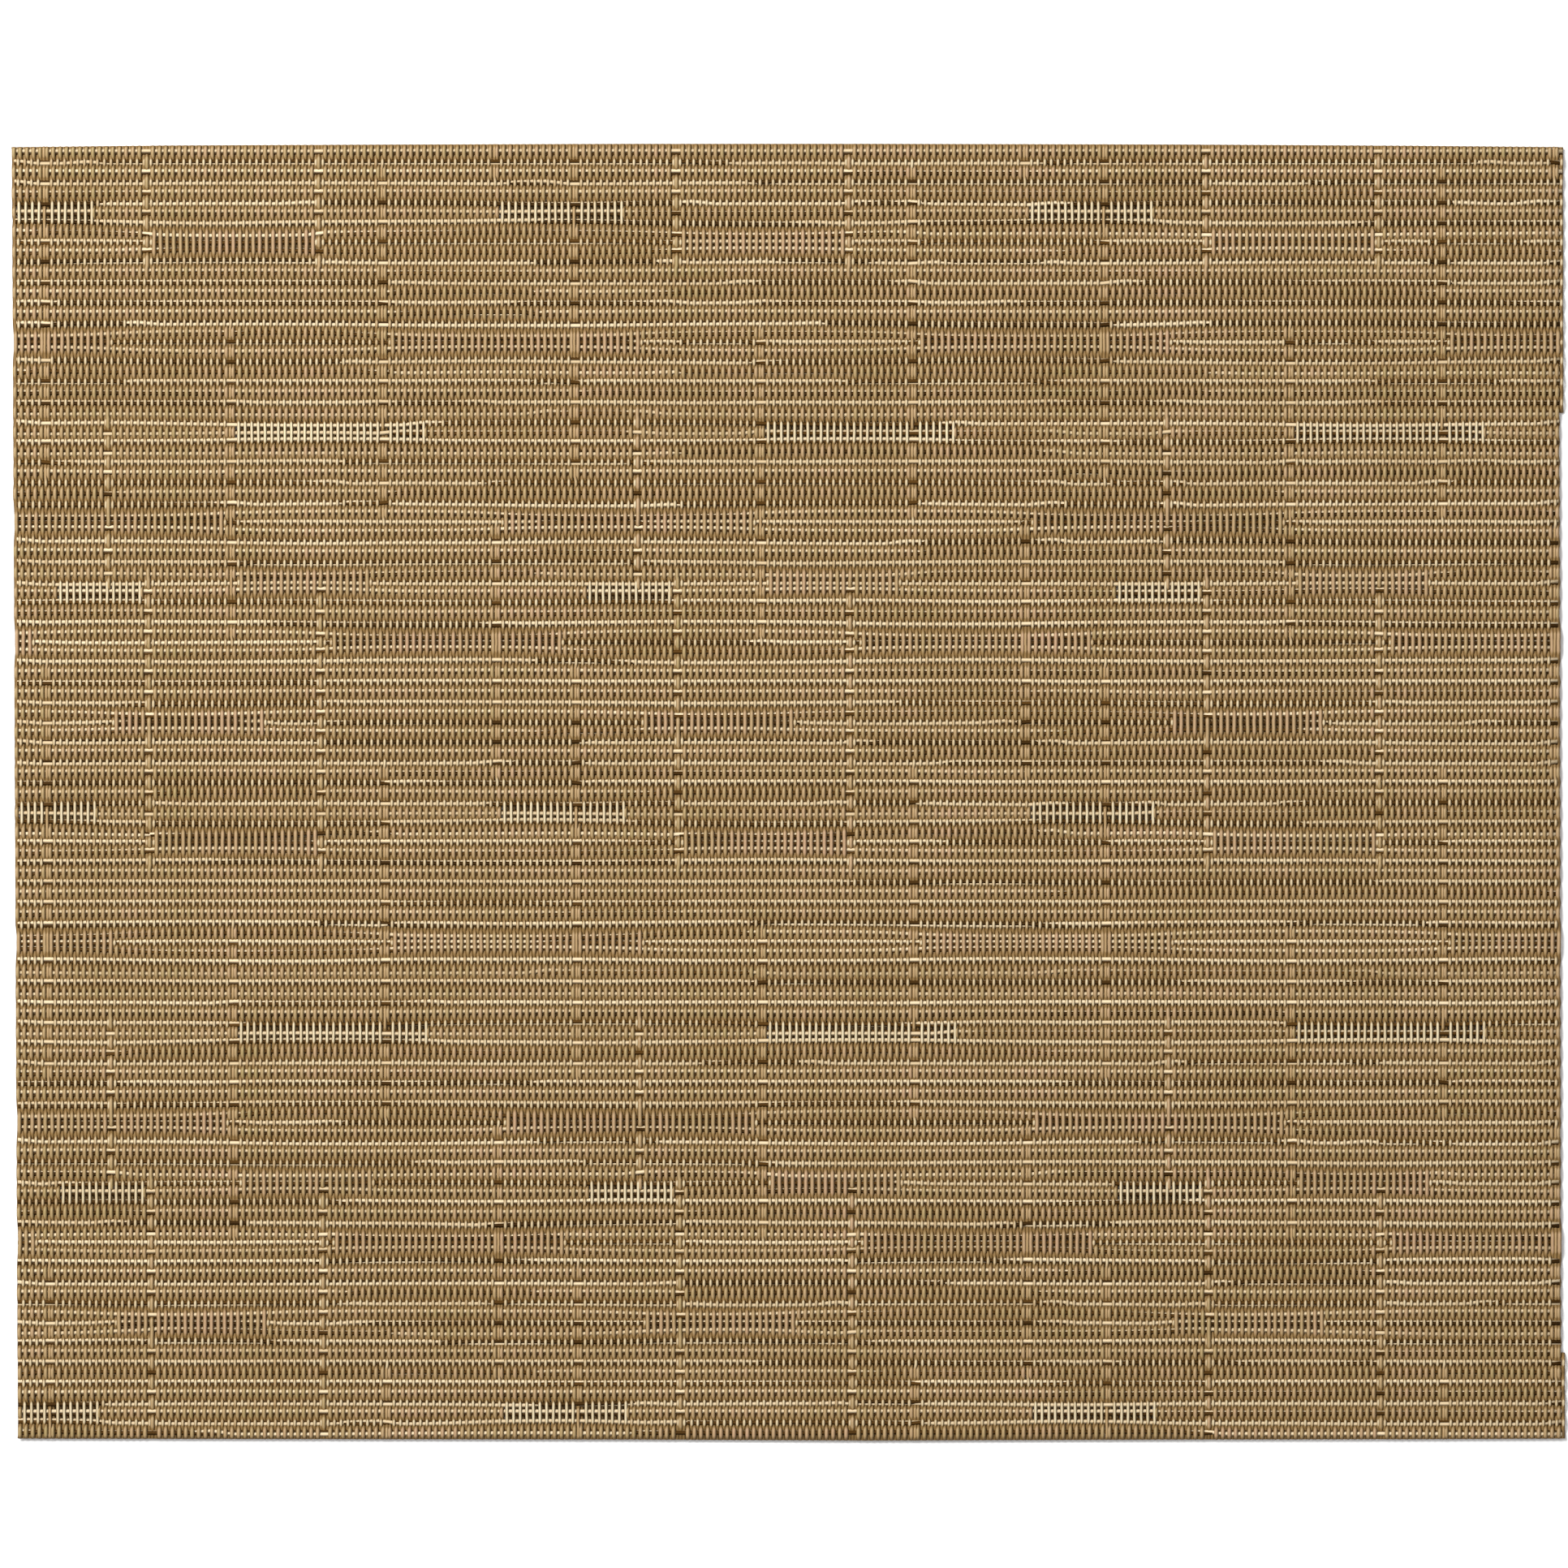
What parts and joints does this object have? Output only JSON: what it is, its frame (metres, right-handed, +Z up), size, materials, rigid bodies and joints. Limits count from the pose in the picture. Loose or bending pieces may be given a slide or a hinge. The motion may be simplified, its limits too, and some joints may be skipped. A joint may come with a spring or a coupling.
{
  "type": "placemat",
  "caption": "Flat rectangular table placemat woven from tan, cream and brown vinyl yarn in a bamboo-look weave, with plain cut edges.",
  "frame": {"origin": "middle of the underside, on the surface the mat lies on", "axes": "+X along the wefts and the long side, +Y along the warps and the short side, +Z up out of the face"},
  "size_m": [0.4576, 0.3816, 0.0016],
  "materials": {
    "warp_tan": "satin vinyl yarn, tan",
    "warp_cream": "satin vinyl yarn, cream",
    "weft_cream": "satin vinyl yarn, pale cream",
    "weft_brown": "satin vinyl yarn, dark brown"
  },
  "bodies": {
    "root": {"mat": "warp_tan"}
  },
  "joints": []
}
